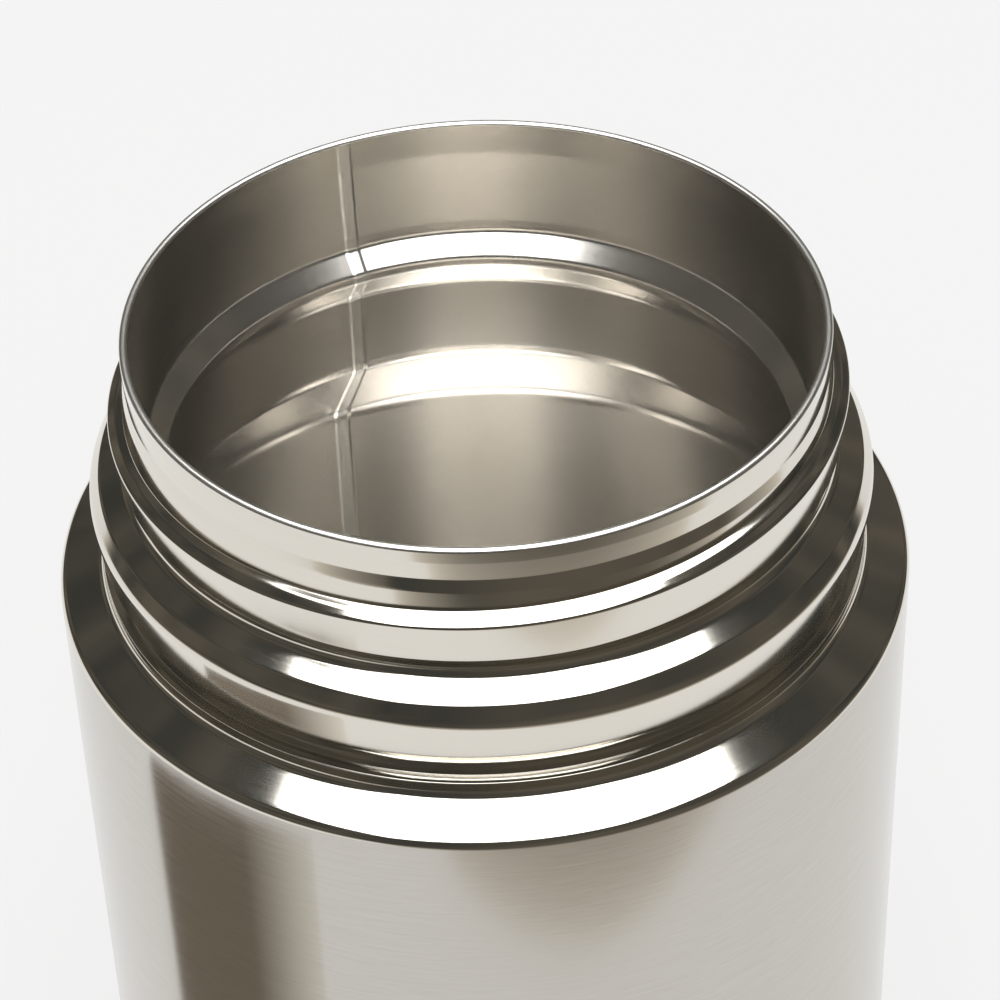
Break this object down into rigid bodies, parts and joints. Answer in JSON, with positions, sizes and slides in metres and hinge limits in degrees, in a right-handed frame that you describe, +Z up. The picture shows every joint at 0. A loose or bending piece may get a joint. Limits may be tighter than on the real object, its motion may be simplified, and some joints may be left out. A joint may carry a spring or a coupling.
{
  "type": "insulated food jar",
  "caption": "Wide-mouth double-walled steel food jar with a rolled screw neck and a separate insulated screw lid.",
  "frame": {"origin": "centre of the jar's foot, on the table", "axes": "+Z up along the jar's axis out of the mouth, -Y is the front that the picture shows, the lid stands behind at +Y"},
  "size_m": [0.1036, 0.2116, 0.126],
  "materials": {
    "shell_steel": "fine horizontal brushing on the body, polished neck and shoulder",
    "vessel_steel": "satin, fine horizontal lathe grain",
    "weld_steel": "planished weld",
    "lid_steel": "fine brushing",
    "foil": "thin bright copper foil",
    "seal_glass": "fused sealing glass",
    "getter_metal": "pressed metal powder",
    "adhesive": "cured silicone adhesive",
    "liner_plastic": "fine matt moulded polypropylene",
    "foam": "rigid insulating foam",
    "gasket_silicone": "matt silicone"
  },
  "bodies": {
    "jar": {"outer_shell": "shell_steel", "lip_weld": "weld_steel", "inner_wall": "vessel_steel", "wall_seam_weld": "weld_steel", "inner_bottom": "vessel_steel", "bottom_weld": "weld_steel", "foil_wrap": "foil", "foil_disc": "foil", "end_plate": "vessel_steel", "end_plate_weld": "weld_steel", "seal_bead": "seal_glass", "getter": "getter_metal", "getter_clip": "vessel_steel", "cover_adhesive": "adhesive", "base_cover": "shell_steel"},
    "lid": {"lid_cap": "lid_steel", "lid_liner": "liner_plastic", "lid_foam": "foam", "lid_gasket": "gasket_silicone", "plug_cup": "lid_steel"}
  },
  "joints": [
    {"name": "lid_lift", "type": "slide", "parent": "jar", "child": "lid", "axis": [0, 0, 1], "range_m": [0, 0.15]}
  ]
}
